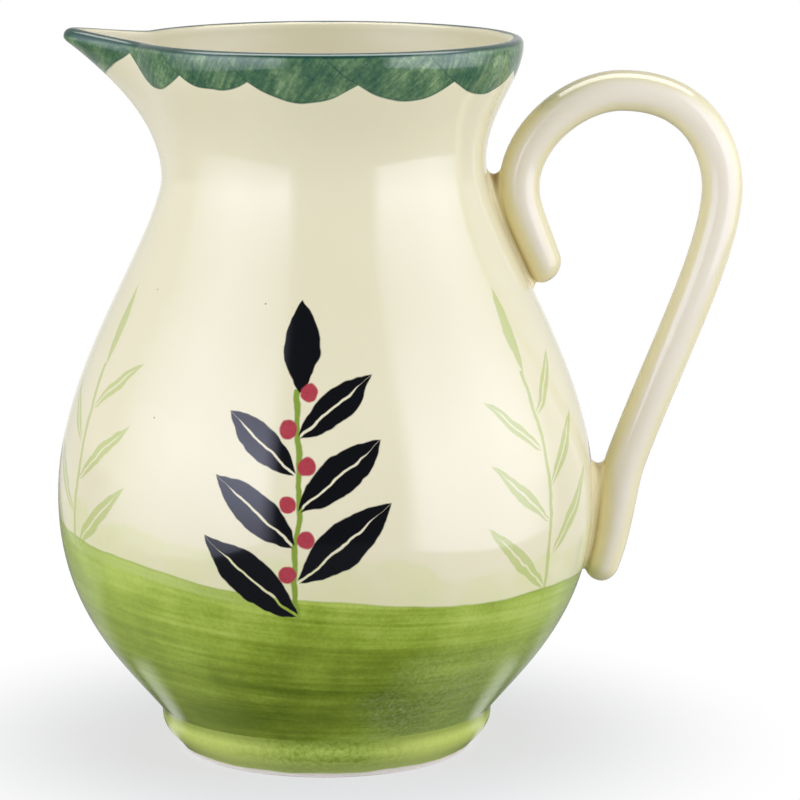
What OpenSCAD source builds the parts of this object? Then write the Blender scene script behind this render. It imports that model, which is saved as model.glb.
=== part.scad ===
// Round-bellied glazed jug with a pouring beak and a curled rod handle.
// Millimetres. +Z is up, the handle points to +X, the beak to -X.
// The origin is the middle of the face that the foot rests on.

/* [Body] */
// Height of the rim above the table
rim_h = 200; // [180:1:230]
// Outside diameter at the rim
rim_d = 110; // [100:1:124]
// Outside diameter at the belly
belly_d = 150.6; // [130:0.2:170]
// Height of the widest point of the belly
belly_h = 71.5; // [60:0.5:85]
// Outside diameter at the waist of the neck
neck_d = 89.6; // [78:0.2:100]
// Height of the waist of the neck
neck_h = 165.5; // [155:0.5:172]
// Angle at which the wall leaves the foot, from level
foot_angle = 51; // [40:1:65]
// How far the wall keeps its direction above the foot
foot_pull = 18; // [10:0.5:24]
// How far the belly stays upright below its widest point
belly_low_pull = 31.5; // [20:0.5:40]
// How far the belly stays upright above its widest point
belly_high_pull = 38.5; // [28:0.5:46]
// How far the neck stays upright below its waist
neck_low_pull = 20.5; // [12:0.5:28]
// How far the neck stays upright above its waist
neck_high_pull = 12; // [6:0.5:16]
// Angle of the wall where it reaches the lip, from level
rim_angle = 78; // [65:1:90]
// How far the wall keeps that angle below the lip
rim_pull = 8.5; // [4:0.5:12]

/* [Walls] */
// Thickness of the wall
wall_t = 5; // [4:0.1:6]
// Thickness of the wall at the lip
lip_t = 4; // [3:0.1:5]
// Height of the rounding of the lip
lip_round = 2; // [1.5:0.1:3]
// Thickness of the floor
floor_t = 7.5; // [6:0.5:9]
// Width of the round between floor and wall inside
floor_fillet = 9; // [6:0.5:12]

/* [Foot ring] */
// Outside diameter of the ring where the wall stands on it
foot_d = 92.8; // [84:0.2:98]
// Height of the ring
foot_h = 11; // [9:0.5:13]
// Outside diameter of the resting face
rest_d = 82; // [76:0.5:84]
// Width of the resting face
rest_w = 6; // [4:0.5:7]
// How far the ring swells outward below the wall
foot_bulge = 1.5; // [0.5:0.1:2]
// Depth of the hollow under the floor
recess_h = 5; // [4:0.5:6]
// Width of the ledge on which the wall stands
ledge_w = 12; // [9:0.5:13]

/* [Spout] */
// Height at which the beak leaves the neck
spout_root_h = 160; // [156:0.5:164]
// How far the tip stands out past the rim
spout_reach = 19.2; // [12:0.2:22]
// How far the tip rises above the rim
spout_rise = 2.6; // [0:0.1:4]
// Half of the angle that the beak takes up on the rim
spout_half_angle = 23; // [18:1:26]
// Half of the angle of the opening that the beak is set into
opening_half_angle = 26; // [26:1:32]
// Half of the angle over which the keel is rounded
keel_round_angle = 2.2; // [1:0.1:4]
// Sharpness of the sides of the beak
beak_power = 1.6; // [1.2:0.1:2]
// Share of the reach that the keel gains at a steady rate
keel_steady_share = 0.39; // [0.3:0.01:0.7]
// Power of the curve by which the keel gains the rest
keel_power = 4.5; // [3:0.5:5]
// Share of the beak's height over which it widens from the keel
beak_widen_share = 0.3; // [0.2:0.05:0.5]
// Share of the reach that the pouring channel inside has
channel_share = 0.93; // [0.85:0.01:1]

/* [Handle] */
// Diameter of the rod
rod_d = 11.4; // [9:0.2:13]
// Height of the top of the loop
handle_top_h = 190.6; // [184:0.2:196]
// How far the rod stands out past the belly
handle_out = 41; // [32:0.2:48]
// Drop from the top of the loop to where the rod stands out farthest
grip_drop = 32.6; // [25:0.2:41]
// Drop from the top of the loop to the middle of the curled end
tail_drop = 54.1; // [50:0.1:58]
// Gap between the curled end and the shoulder, square to the wall
tail_gap = 0.4; // [0.3:0.1:2]
// Drop from the top of the loop to where the curl leaves the neck
curl_drop = 32.6; // [28:0.2:37]
// Gap between the curl and the neck there
curl_gap = 2.2; // [1.5:0.1:4]
// How far the curl keeps its direction above that place
curl_pull = 14; // [8:0.5:18]
// How far the loop stays level on the side of the neck
loop_in_pull = 13.5; // [8:0.5:18]
// How far the loop stays level on the outer side
loop_out_pull = 23.5; // [12:0.5:26]
// How far the rod stays upright above its farthest point
grip_high_pull = 8; // [3:0.5:12]
// How far the rod stays upright below its farthest point
grip_low_pull = 18; // [10:0.5:26]
// Height of the bend where the rod comes in to the belly
bend_h = 82; // [76:0.5:88]
// Gap between the rod and the belly at that bend
bend_gap = 4.6; // [3:0.1:6]
// How far the rod keeps its direction above the bend
bend_pull = 29; // [18:0.5:36]
// Height of the middle of the lower end
low_h = 51; // [46:0.5:56]
// Gap between the lower end and the belly
low_gap = 0.4; // [0.3:0.1:2]
// How late the rod lifts off the wall on its way along it
lift_power = 3.6; // [2:0.1:5]
// Length of the rounding of the rod's two ends
end_round = 5; // [3:0.1:6]

/* [Slip joints] */
// Half of the width of the slip where it meets the pot and the rod
slip_half_w = 4; // [3:0.1:4.4]
// Share of that width that is left in the middle of the slip
slip_waist_share = 0.75; // [0.5:0.05:1]
// Height that the upper slip climbs above the upright part of the curl
slip_climb_h = 4.5; // [1:0.5:5]
// Height that the lower slip reaches below the bend
slip_drop_h = 3; // [1:0.5:6]
// Clearance between the slip and what it joins
seat_gap = 0.05; // [0.02:0.01:0.1]

/* [Hidden] */
// Facets of the turned pieces, and overrun of the cuts
$fn = 96;
cut_over = 2;
// Steps along each curve of the pot, and of the lip
curve_steps = 14;
lip_steps = 8;
// Sections of the beak from one side of its opening to the other
beak_sections = 26;
// Steps along each stretch of the rod, sides of the rod, and rings of its ends
rod_steps = 10;
rod_sides = 24;
end_steps = 5;
// Heights at which the slip is drawn, and steps across its faces and its flanks
slip_stations = 14;
slip_face_steps = 6;
slip_flank_steps = 3;
// Share of the lower wall curve that the round of the floor takes up
fillet_share = 0.16;
// Shares of the foot's height at which the swell begins and ends
bulge_shares = [0.45, 0.2];
// Share of the end's rounding that closes as a small flat
end_flat_share = 0.96;

rim_r = rim_d / 2;
belly_r = belly_d / 2;
neck_r = neck_d / 2;
foot_r = foot_d / 2;
rest_r = rest_d / 2;
rod_r = rod_d / 2;
grip_h = handle_top_h - grip_drop;
tail_h = handle_top_h - tail_drop;
curl_h = handle_top_h - curl_drop;
lip_base_h = rim_h - lip_round;
socket_r = foot_r - ledge_w;
floor_top_h = recess_h + floor_t;

glaze_cream = [0.93, 0.91, 0.80];
glaze_green = [0.22, 0.38, 0.29];
foot_green = [0.58, 0.69, 0.30];
slip_cream = [0.90, 0.87, 0.70];

// Points and directions along cubic curves
function curve_point(c, t) =
    pow(1 - t, 3) * c[0] + 3 * t * pow(1 - t, 2) * c[1] + 3 * t * t * (1 - t) * c[2] + pow(t, 3) * c[3];
function curve_slope(c, t) =
    pow(1 - t, 2) * (c[1] - c[0]) + 2 * t * (1 - t) * (c[2] - c[1]) + t * t * (c[3] - c[2]);
function curve_run(c, steps, first = 0) = [for (i = [first:steps]) curve_point(c, i / steps)];
function reversed(list) = [for (i = [len(list) - 1:-1:0]) list[i]];
function heading(angle) = [cos(angle), sin(angle)];
upward = heading(90);
outward = heading(0);
// A curve that leaves one point and reaches the next with a pull along each direction
function pulled_curve(from, leave, to, arrive) = [from, from + leave, to - arrive, to];

// Outline of the pot, outside, from the foot up to the lip
foot_point = [foot_r, foot_h];
belly_point = [belly_r, belly_h];
neck_point = [neck_r, neck_h];
lip_point = [rim_r, lip_base_h];
lower_wall = pulled_curve(foot_point, foot_pull * heading(foot_angle), belly_point, belly_low_pull * upward);
shoulder_wall = pulled_curve(belly_point, belly_high_pull * upward, neck_point, neck_low_pull * upward);
neck_wall = pulled_curve(neck_point, neck_high_pull * upward, lip_point, rim_pull * heading(rim_angle));
outside_run = concat(
    curve_run(lower_wall, curve_steps),
    curve_run(shoulder_wall, curve_steps, 1),
    curve_run(neck_wall, curve_steps, 1)
);

// Outline of the pot, inside, at the wall's thickness square to the outside
function inside_point(c, t, thick) =
    let (s = curve_slope(c, t))
    curve_point(c, t) + thick / norm(s) * [-s[1], s[0]];
function inside_run_of(c, first, thick_low, thick_high) = [
    for (i = [first:curve_steps])
        let (t = i / curve_steps)
        inside_point(c, t, thick_low + t * (thick_high - thick_low))
];
fillet_first = ceil(fillet_share * curve_steps);
inside_run = concat(
    inside_run_of(lower_wall, fillet_first, wall_t, wall_t),
    inside_run_of(shoulder_wall, 1, wall_t, wall_t),
    inside_run_of(neck_wall, 1, wall_t, lip_t)
);
lip_out = outside_run[len(outside_run) - 1];
lip_in = inside_run[len(inside_run) - 1];
// The lip's curve peaks at the rim's height
lip_crown_h = (8 * rim_h - lip_out[1] - lip_in[1]) / 6;
lip_curve = [lip_out, [lip_out[0], lip_crown_h], [lip_in[0], lip_crown_h], lip_in];
lip_run = curve_run(lip_curve, lip_steps);
// The wall runs on down to the floor, and a round takes up the corner
wall_slope = curve_slope(lower_wall, fillet_first / curve_steps);
floor_corner = inside_run[0] - (inside_run[0][1] - floor_top_h) / wall_slope[1] * wall_slope;
floor_edge = floor_corner - [floor_fillet, 0];
floor_curve = [inside_run[0], floor_corner, floor_corner, floor_edge];
floor_run = curve_run(floor_curve, lip_steps, 1);

// Radii of the pot, outside and inside, at a height
outside_keys = [for (p = outside_run) [p[1], p[0]]];
inside_keys = [for (p = inside_run) [p[1], p[0]]];
function outside_r(h) = lookup(h, outside_keys);
function inside_r(h) = lookup(h, inside_keys);

// Skin between closed rings of points, capped at both ends
module loft(rings) {
    sides = len(rings[0]);
    last = len(rings) - 1;
    points = [for (ring = rings) each ring];
    skin = [
        for (i = [0:last - 1], j = [0:sides - 1])
            let (k = (j + 1) % sides, low = i * sides, high = low + sides)
            each [[low + j, high + j, high + k], [low + j, high + k, low + k]]
    ];
    first_cap = [for (j = [0:sides - 1]) j];
    last_cap = [for (j = [sides - 1:-1:0]) last * sides + j];
    polyhedron(points, concat([first_cap], skin, [last_cap]));
}

// Sector of the neck that the beak is set into
module spout_opening() {
    far = rim_r + spout_reach;
    corner = far / cos(opening_half_angle);
    translate([0, 0, spout_root_h])
        linear_extrude(rim_h - spout_root_h + cut_over)
            polygon([
                [0, 0],
                corner * [-cos(opening_half_angle), sin(opening_half_angle)],
                corner * [-cos(opening_half_angle), -sin(opening_half_angle)]
            ]);
}

module body() {
    color(glaze_cream)
        difference() {
            rotate_extrude()
                polygon(concat(
                    [[0, recess_h], [socket_r, recess_h], [socket_r, foot_h]],
                    outside_run,
                    [for (i = [1:lip_steps - 1]) lip_run[i]],
                    reversed(inside_run),
                    floor_run,
                    [[0, floor_top_h]]
                ));
            spout_opening();
        }
}

// Ring that the pot stands on: swollen outside, undercut to its resting face
module foot_ring() {
    ring_curve = [
        [foot_r, foot_h],
        [foot_r + foot_bulge, foot_h * bulge_shares[0]],
        [rest_r, foot_h * bulge_shares[1]],
        [rest_r, 0]
    ];
    color(foot_green)
        rotate_extrude()
            polygon(concat(
                curve_run(ring_curve, curve_steps),
                [
                    [rest_r - rest_w, 0],
                    [socket_r + seat_gap, recess_h],
                    [socket_r + seat_gap, foot_h]
                ]
            ));
}

// Section of the neck above the beak's root: radius, height, and 0 outside to 1 inside
neck_section = concat(
    [[outside_r(spout_root_h), spout_root_h, 0]],
    [for (p = outside_run) if (p[1] > spout_root_h) [p[0], p[1], 0]],
    [for (i = [1:lip_steps - 1]) [lip_run[i][0], lip_run[i][1], i / lip_steps]],
    [for (p = reversed(inside_run)) if (p[1] > spout_root_h) [p[0], p[1], 1]],
    [[inside_r(spout_root_h), spout_root_h, 1]]
);
// How far up the beak a height is, from 0 at its root to 1 at the rim
function climb(h) = min(1, max(0, (h - spout_root_h) / (rim_h - spout_root_h)));
// How far the keel stands out from the neck
function keel_out(t) = spout_reach * (keel_steady_share * t + (1 - keel_steady_share) * pow(t, keel_power));
// Half angle of the beak, widening in a U from the root of the keel
function beak_angle(t) = spout_half_angle * sqrt(1 - pow(1 - min(1, t / beak_widen_share), 2));
// Share of the keel's reach at an angle from it: a rounded ridge with soft feet
function beak_share(angle, half) =
    let (
        soft = sqrt(angle * angle + keel_round_angle * keel_round_angle) - keel_round_angle,
        full = sqrt(half * half + keel_round_angle * keel_round_angle) - keel_round_angle
    )
    soft < full ? pow(1 - soft / full, beak_power) : 0;
function spout_point(q, angle) =
    let (
        t = climb(q[1]),
        share = beak_share(angle, beak_angle(t)),
        channel = 1 - q[2] * (1 - channel_share),
        r = q[0] + channel * share * keel_out(t),
        h = q[1] + share * spout_rise * pow(t, keel_power)
    )
    [-r * cos(angle), r * sin(angle), h];

module spout() {
    color(glaze_green)
        loft([
            for (i = [0:beak_sections])
                [for (q = neck_section) spout_point(q, opening_half_angle * (2 * i / beak_sections - 1))]
        ]);
}

// How much longer a level cut is than a square one, for a line that leans by this slope
function lengthened(slope) = sqrt(1 + slope * slope);
function outside_slope(h) = (outside_r(h + rod_r) - outside_r(h - rod_r)) / rod_d;
// Stretch of the rod that lies along the pot, as points [x, z], and lifts off it towards one end
function lying_run(lying_h, lying_gap, lifted_h, lifted_gap) = [
    for (i = [0:rod_steps])
        let (
            t = i / rod_steps,
            h = lying_h + (lifted_h - lying_h) * t,
            gap = lying_gap + (lifted_gap - lying_gap) * pow(t, lift_power)
        )
        [outside_r(h) + (rod_r + gap) * lengthened(outside_slope(h)), h]
];
function last_of(list) = list[len(list) - 1];
function last_direction(list) =
    let (step = last_of(list) - list[len(list) - 2])
    step / norm(step);

// Centreline of the rod in the plane Y = 0: curled end, curl, loop, back and lower end
tail_run = lying_run(tail_h, tail_gap, curl_h, curl_gap);
low_run = lying_run(low_h, low_gap, bend_h, bend_gap);
curl_side = last_of(tail_run);
bend_side = last_of(low_run);
grip_side = [belly_r + handle_out - rod_r, grip_h];
loop_top = [(curl_side[0] + grip_side[0]) / 2, handle_top_h - rod_r];
curl_way = last_direction(tail_run);
bend_way = last_direction(low_run);
curl_curve = pulled_curve(curl_side, curl_pull * curl_way, loop_top, loop_in_pull * outward);
loop_curve = pulled_curve(loop_top, loop_out_pull * outward, grip_side, -grip_high_pull * upward);
back_curve = pulled_curve(grip_side, -grip_low_pull * upward, bend_side, -bend_pull * bend_way);
rod_path = concat(
    tail_run,
    curve_run(curl_curve, rod_steps, 1),
    curve_run(loop_curve, rod_steps, 1),
    curve_run(back_curve, rod_steps, 1),
    [for (i = [rod_steps - 1:-1:0]) low_run[i]]
);

// One ring of the rod round a point of its centreline, square to the direction there
function rod_ring(p, direction, r) =
    let (side = [-direction[1], direction[0]] / norm(direction))
    [
        for (j = [0:rod_sides - 1])
            let (a = 360 * j / rod_sides, in_plane = p + r * cos(a) * side)
            [in_plane[0], r * sin(a), in_plane[1]]
    ];
// Rings that round off an end of the rod, from the full rod outward
function end_rings(p, direction, length) = [
    for (i = [1:end_steps])
        let (
            a = 90 * end_flat_share * i / end_steps,
            along = length * sin(a) / norm(direction)
        )
        rod_ring(p + along * direction, direction, rod_r * cos(a))
];

module handle() {
    last = len(rod_path) - 1;
    start_step = rod_path[1] - rod_path[0];
    end_step = rod_path[last] - rod_path[last - 1];
    color(glaze_cream)
        loft(concat(
            reversed(end_rings(rod_path[0], start_step, -end_round)),
            [
                for (i = [0:last])
                    rod_ring(rod_path[i], rod_path[min(i + 1, last)] - rod_path[max(i - 1, 0)], rod_r)
            ],
            end_rings(rod_path[last], end_step, end_round)
        ));
}

// Level section, at a height, of the slip between the pot and a stretch of the rod
function slip_section(run, h) =
    let (
        keys = [for (p = run) [p[1], p[0]]],
        rod_x = lookup(h, keys),
        lean_h = min(max(h, run[0][1] + rod_r), last_of(run)[1] - rod_r),
        longer = lengthened((lookup(lean_h + rod_r, keys) - lookup(lean_h - rod_r, keys)) / rod_d),
        pot_r = outside_r(h) + seat_gap,
        bar_r = rod_r + seat_gap,
        pot_x = function (y) sqrt(pot_r * pot_r - y * y),
        bar_x = function (y) rod_x - longer * sqrt(bar_r * bar_r - y * y),
        across = [for (i = [0:slip_face_steps]) slip_half_w * (2 * i / slip_face_steps - 1)],
        flank = [for (i = [1:slip_flank_steps - 1]) i / slip_flank_steps],
        waist = function (t) slip_half_w * (1 - (1 - slip_waist_share) * sin(180 * t)),
        between = function (t) (1 - t) * pot_x(slip_half_w) + t * bar_x(slip_half_w)
    )
    concat(
        [for (y = across) [pot_x(y), y, h]],
        [for (t = flank) [between(t), waist(t), h]],
        [for (y = reversed(across)) [bar_x(y), y, h]],
        [for (t = reversed(flank)) [between(t), -waist(t), h]]
    );
module slip_web(run, low, high) {
    color(slip_cream)
        loft([for (i = [0:slip_stations]) slip_section(run, low + (high - low) * i / slip_stations)]);
}

module upper_handle_slip() {
    slip_web(concat(tail_run, curve_run(curl_curve, rod_steps, 1)), tail_h, curl_h + slip_climb_h);
}

module lower_handle_slip() {
    slip_web(low_run, low_h, bend_h - slip_drop_h);
}

body();
foot_ring();
spout();
handle();
upper_handle_slip();
lower_handle_slip();
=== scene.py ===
# %% [markdown]
# # A glazed jug with a pulled beak and a curled rod handle
# A potter makes this jug in four steps: the pot is thrown and its foot is turned, the beak is pulled
# with a finger, a rolled rod is luted on as the handle, and the colours are brushed on under the glaze.
# This lesson follows the same order. The first cell loads the measured part that everything has to fit.

# %% Load the measured part
import math

import bpy
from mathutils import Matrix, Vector


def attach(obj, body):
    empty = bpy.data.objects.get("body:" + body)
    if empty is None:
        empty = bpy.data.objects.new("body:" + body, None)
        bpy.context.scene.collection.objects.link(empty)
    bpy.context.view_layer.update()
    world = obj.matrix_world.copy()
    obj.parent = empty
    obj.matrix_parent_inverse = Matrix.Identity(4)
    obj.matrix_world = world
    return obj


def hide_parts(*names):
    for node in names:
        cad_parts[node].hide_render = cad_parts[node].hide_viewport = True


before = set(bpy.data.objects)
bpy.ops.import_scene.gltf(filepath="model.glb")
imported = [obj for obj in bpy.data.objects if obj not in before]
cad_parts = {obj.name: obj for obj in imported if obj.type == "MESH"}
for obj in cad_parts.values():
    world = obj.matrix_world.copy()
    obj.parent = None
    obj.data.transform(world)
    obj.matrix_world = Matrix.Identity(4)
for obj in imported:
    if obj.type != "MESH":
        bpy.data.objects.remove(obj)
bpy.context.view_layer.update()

MM = 0.001

# %% [markdown]
# ## The camera
# A long lens from about a metre away keeps the sides of the pot nearly parallel, as in a catalogue
# picture. It looks down by ten degrees, so that the mouth shows as a thin ellipse.

# %% Camera
CAMERA_PLACE = (-0.0006, -1.050, 0.289)
LENS_MM, SENSOR_MM = 171.1, 36
LOOK_DOWN, LOOK_RIGHT = math.radians(10.31), math.radians(1.17)
bpy.ops.object.camera_add(location=CAMERA_PLACE, rotation=(math.pi / 2 - LOOK_DOWN, 0, -LOOK_RIGHT))
camera = bpy.context.object
camera.data.lens = LENS_MM
camera.data.sensor_width = SENSOR_MM
bpy.context.scene.camera = camera
print("camera at", [round(v, 3) for v in camera.location])

# %% [markdown]
# ## The outline of the pot
# A thrown pot is the same all the way round, so one half outline says all about it. A potter shapes
# it with a rib from foot to belly, shoulder, neck and rim, and each of these stretches is a smooth
# pull from one height to the next. A cubic curve with a pull at each end does just that. The last few
# millimetres below the lip stand upright. All sizes here are in millimetres, and the wall is set
# square to the outside.

# %% Curves of the outline
FOOT_R, FOOT_H = 46.4, 11.0
BELLY_R, BELLY_H = 75.25, 71.5
NECK_R, NECK_H = 44.8, 165.5
RIM_R, RIM_H, BAND_FOOT = 55.0, 200.0, (54.3, 193.5)
FOOT_LEAN, BAND_LEAN, LIP_LEAN = 51, 76, 91
FOOT_PULL, BELLY_PULLS, NECK_PULLS, BAND_PULL, RIM_PULL = 18, (31.5, 38.5), (20.5, 12), 7.5, 1.6
WALL, LIP_WALL, LIP_ROUND = 5.0, 4.0, 2.0
FLOOR_TOP, FLOOR_ROUND = 12.5, 9.0
RECESS_H, SOCKET_R = 5.0, 34.4
UP = Vector((0, 1))


def heading(degrees):
    return Vector((math.cos(math.radians(degrees)), math.sin(math.radians(degrees))))


def pulled(start, leave, end, arrive):
    return [Vector(start), Vector(start) + leave, Vector(end) - arrive, Vector(end)]


def along(c, t):
    u = 1 - t
    return u**3 * c[0] + 3 * t * u * u * c[1] + 3 * t * t * u * c[2] + t**3 * c[3]


def slope(c, t):
    u = 1 - t
    return u * u * (c[1] - c[0]) + 2 * t * u * (c[2] - c[1]) + t * t * (c[3] - c[2])


def shares(steps):
    return [i / steps for i in range(1, steps + 1)]


foot_edge, belly, neck = Vector((FOOT_R, FOOT_H)), Vector((BELLY_R, BELLY_H)), Vector((NECK_R, NECK_H))
band_way, lip_way = heading(BAND_LEAN), heading(LIP_LEAN)
lower_wall = pulled(foot_edge, FOOT_PULL * heading(FOOT_LEAN), belly, BELLY_PULLS[0] * UP)
shoulder_wall = pulled(belly, BELLY_PULLS[1] * UP, neck, NECK_PULLS[0] * UP)
neck_wall = pulled(neck, NECK_PULLS[1] * UP, BAND_FOOT, BAND_PULL * band_way)
rim_wall = pulled(BAND_FOOT, RIM_PULL * band_way, (RIM_R, RIM_H - LIP_ROUND), RIM_PULL * lip_way)

outside = [foot_edge]
for curve, steps in ((lower_wall, 26), (shoulder_wall, 32), (neck_wall, 20), (rim_wall, 6)):
    outside += [along(curve, t) for t in shares(steps)]


def x_between(low, high, height):
    return low.x + (high.x - low.x) * (height - low.y) / (high.y - low.y)


def wall_r(height):
    for low, high in zip(outside, outside[1:]):
        if low.y <= height <= high.y:
            return x_between(low, high, height)
    return outside[0].x if height < outside[0].y else outside[-1].x


print("outside points:", len(outside), "radius at half height:", round(wall_r(100), 2))

# %% [markdown]
# The inside follows the outside at the thickness of the clay. The lip is one soft roll from the outer
# wall to the inner one, and at the bottom the wall runs into the floor with the round that a
# potter's fingers leave.

# %% Inside, lip and floor
FLOOR_START = 3 / 14


def inner(curve, t, thick):
    s = slope(curve, t)
    return along(curve, t) + thick / s.length * Vector((-s.y, s.x))


inside = [inner(lower_wall, FLOOR_START + (1 - FLOOR_START) * t, WALL) for t in (0, *shares(18))]
inside += [inner(shoulder_wall, t, WALL) for t in shares(24)]
inside += [inner(neck_wall, t, WALL + t * (LIP_WALL - WALL)) for t in shares(20)]
inside += [inner(rim_wall, t, LIP_WALL) for t in shares(5)]
lip_out, lip_in = outside[-1], inside[-1]
crown = (8 * RIM_H - lip_out.y - lip_in.y) / 6
lip_curve = [lip_out, Vector((lip_out.x, crown)), Vector((lip_in.x, crown)), lip_in]
LIP_STEPS = 12
lip_shares = shares(LIP_STEPS)[:-1]
lip = [along(lip_curve, t) for t in lip_shares]

wall_way = slope(lower_wall, FLOOR_START)
corner = inside[0] - (inside[0].y - FLOOR_TOP) / wall_way.y * wall_way
floor_curve = [inside[0], corner, corner, corner - Vector((FLOOR_ROUND, 0))]
floor_line = [along(floor_curve, t) for t in shares(10)]
floor_line += [Vector((floor_line[-1].x * (1 - t), FLOOR_TOP)) for t in shares(5)]
underside = [Vector((SOCKET_R * t, RECESS_H)) for t in (0, *shares(3))] + [Vector((SOCKET_R, FOOT_H))]

outline = underside + outside + lip + inside[::-1] + floor_line
inner_share = [0] * (len(underside) + len(outside))
inner_share += lip_shares + [1] * (len(inside) + len(floor_line))
walked = [0.0]
for here, there in zip(outline, outline[1:]):
    walked.append(walked[-1] + (there - here).length)
crown_walked = walked[len(underside) + len(outside) + LIP_STEPS // 2 - 1]
down_wall = [abs(w - crown_walked) for w in walked]
print("outline points:", len(outline), "walk from foot to crown in mm:", round(crown_walked, 1))

# %% [markdown]
# ## Turning the outline on the wheel
# Drawing the outline as by hand keeps the steps open to view: one point is extruded along it, and Spin
# then turns it round the axis like a wheel. Each point also gets two marks, and the spin carries them
# round: one tells inside from outside, the other how far down the wall it is from the crown of the lip.
# The brush colours need both later.

# %% Draw an outline and spin it
def edit_all():
    bpy.ops.object.mode_set(mode="EDIT")
    bpy.ops.mesh.select_all(action="SELECT")


def face_outward():
    bpy.ops.mesh.select_all(action="SELECT")
    bpy.ops.mesh.normals_make_consistent()
    bpy.ops.object.mode_set(mode="OBJECT")


def draw_outline(name, points):
    bpy.ops.mesh.primitive_plane_add(size=MM)
    line = bpy.context.object
    line.name = line.data.name = name
    edit_all()
    bpy.ops.mesh.merge(type="CENTER")
    bpy.ops.transform.translate(value=(points[0].x * MM, 0, points[0].y * MM))
    for here, there in zip(points, points[1:]):
        step = (there - here) * MM
        bpy.ops.mesh.extrude_vertices_move(TRANSFORM_OT_translate={"value": (step.x, 0, step.y)})
    bpy.ops.object.mode_set(mode="OBJECT")
    return line


MERGE_MM, CREASE = 0.01, math.radians(42)


def spin_round(steps):
    edit_all()
    bpy.ops.mesh.spin(steps=steps, angle=2 * math.pi, center=(0, 0, 0), axis=(0, 0, 1))
    bpy.ops.mesh.select_all(action="SELECT")
    bpy.ops.mesh.remove_doubles(threshold=MERGE_MM * MM)
    face_outward()
    bpy.ops.object.shade_smooth_by_angle(angle=CREASE)


jug = draw_outline("jug_body_and_beak", outline)
for mark_name, values in (("inner_side", inner_share), ("down_wall", down_wall)):
    mark = jug.data.attributes.new(mark_name, "FLOAT", "POINT")
    mark.data.foreach_set("value", values)
spin_round(steps=360)
print("pot:", len(jug.data.vertices), "points", len(jug.data.polygons), "faces")

# %% [markdown]
# ## Pulling the beak
# The potter lays two fingers beside the lip and pulls a third between them, so the lip runs out into a
# sharp keel with soft feet, and the pull fades out down the neck. A proportional move would give a
# round bump, so each point is moved by its own rule: how far up the neck it is, and how far it is
# from the keel by angle. The pull is full a few millimetres below the crown, so the lip's roll stays
# round at the tip. The inside moves a little less than the outside, which keeps a channel.

# %% Beak
BEAK_ROOT, BEAK_FULL, BEAK_REACH, BEAK_RISE = 160.0, 196.8, 16.9, 2.55
BEAK_HALF, KEEL_ROUND = 23.0, 2.2
BEAK_POWER, KEEL_POWER, KEEL_STEADY = 1.6, 5.5, 0.375
BEAK_WIDEN, CHANNEL = 0.3, 0.93


def rounded(angle):
    return math.hypot(angle, KEEL_ROUND) - KEEL_ROUND


def beak_pull(height, angle):
    climb = min(1, max(0, (height - BEAK_ROOT) / (BEAK_FULL - BEAK_ROOT)))
    half = BEAK_HALF * math.sqrt(1 - (1 - min(1, climb / BEAK_WIDEN)) ** 2)
    if half == 0 or angle >= half:
        return 0, 0
    share = (1 - rounded(angle) / rounded(half)) ** BEAK_POWER
    out = BEAK_REACH * (KEEL_STEADY * climb + (1 - KEEL_STEADY) * climb**KEEL_POWER)
    return share * out, share * BEAK_RISE * climb**KEEL_POWER


marks = jug.data.attributes["inner_side"].data
moved = 0
for vertex in jug.data.vertices:
    x, y, z = vertex.co
    out, rise = beak_pull(z / MM, math.degrees(math.atan2(abs(y), -x)))
    if out > 0:
        radius = math.hypot(x, y)
        grown = 1 + out * MM * (1 - marks[vertex.index].value * (1 - CHANNEL)) / radius
        vertex.co = (x * grown, y * grown, z + rise * MM)
        moved += 1
print("beak points moved:", moved)

# %% [markdown]
# ## The foot ring
# The foot is turned when the pot is leather-hard: a ring with a slight swell, an undercut to the face
# that it stands on, and a hollow underneath. Glaze runs into the groove above it, so the ring's
# outline starts with a small cove that laps up onto the belly.

# %% Foot ring
REST_R, REST_W, INNER_EDGE = 41.0, 6.0, 0.5
COVE_LAP, COVE_SINK, COVE_END, GROOVE = 0.045, 0.15, 0.09, (0.25, 0.1)
SWELL_OUT, SWELL_H, UNDERCUT_H = 1.5, 4.95, 2.2
WORN_EDGE = ((0.35, 0.08), (0.9, 0))
SEAT_GAP, TOP_GAP = 0.2, 0.1
cove_top = along(lower_wall, COVE_LAP) - Vector((COVE_SINK, 0))
swell_points = ((FOOT_R + SWELL_OUT, SWELL_H), (REST_R, UNDERCUT_H), (REST_R, 0))
swell = [foot_edge, *map(Vector, swell_points)]
cove_end = along(swell, COVE_END)
groove = foot_edge + Vector(GROOVE)
cove = [(1 - t) ** 2 * cove_top + 2 * t * (1 - t) * groove + t * t * cove_end for t in (0, *shares(5))]
ring_side = [along(swell, COVE_END + (1 - COVE_END) * t) for t in shares(22)[:-1]]
ring_under = [Vector((REST_R - inward, height)) for inward, height in WORN_EDGE]
ring_under += [Vector((REST_R - REST_W * share, 0)) for share in (0.4, 0.6, 0.8)]
ring_under += [Vector((REST_R - REST_W + INNER_EDGE, 0))]
ring_under += [Vector((SOCKET_R + SEAT_GAP, RECESS_H)), Vector((SOCKET_R + TOP_GAP, FOOT_H))]
ring_outline = cove + ring_side + ring_under
foot = draw_outline("foot_ring", ring_outline + [ring_outline[0]])
spin_round(steps=240)
print("foot ring:", len(foot.data.polygons), "faces")

# %% [markdown]
# ## The rod of the handle
# A handle like this is rolled from clay on a board, so it starts as a straight round rod: a disc that
# is extruded along its length, with its two ends rounded by a bevel. A Curve modifier then bends it
# along the path that the hand gave it: up the shoulder, over in a loop, and down to the belly. The
# lying stretches keep a set gap to the wall, as in the measured part, and both ends are thinned a
# little on the side away from the pot.

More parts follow.
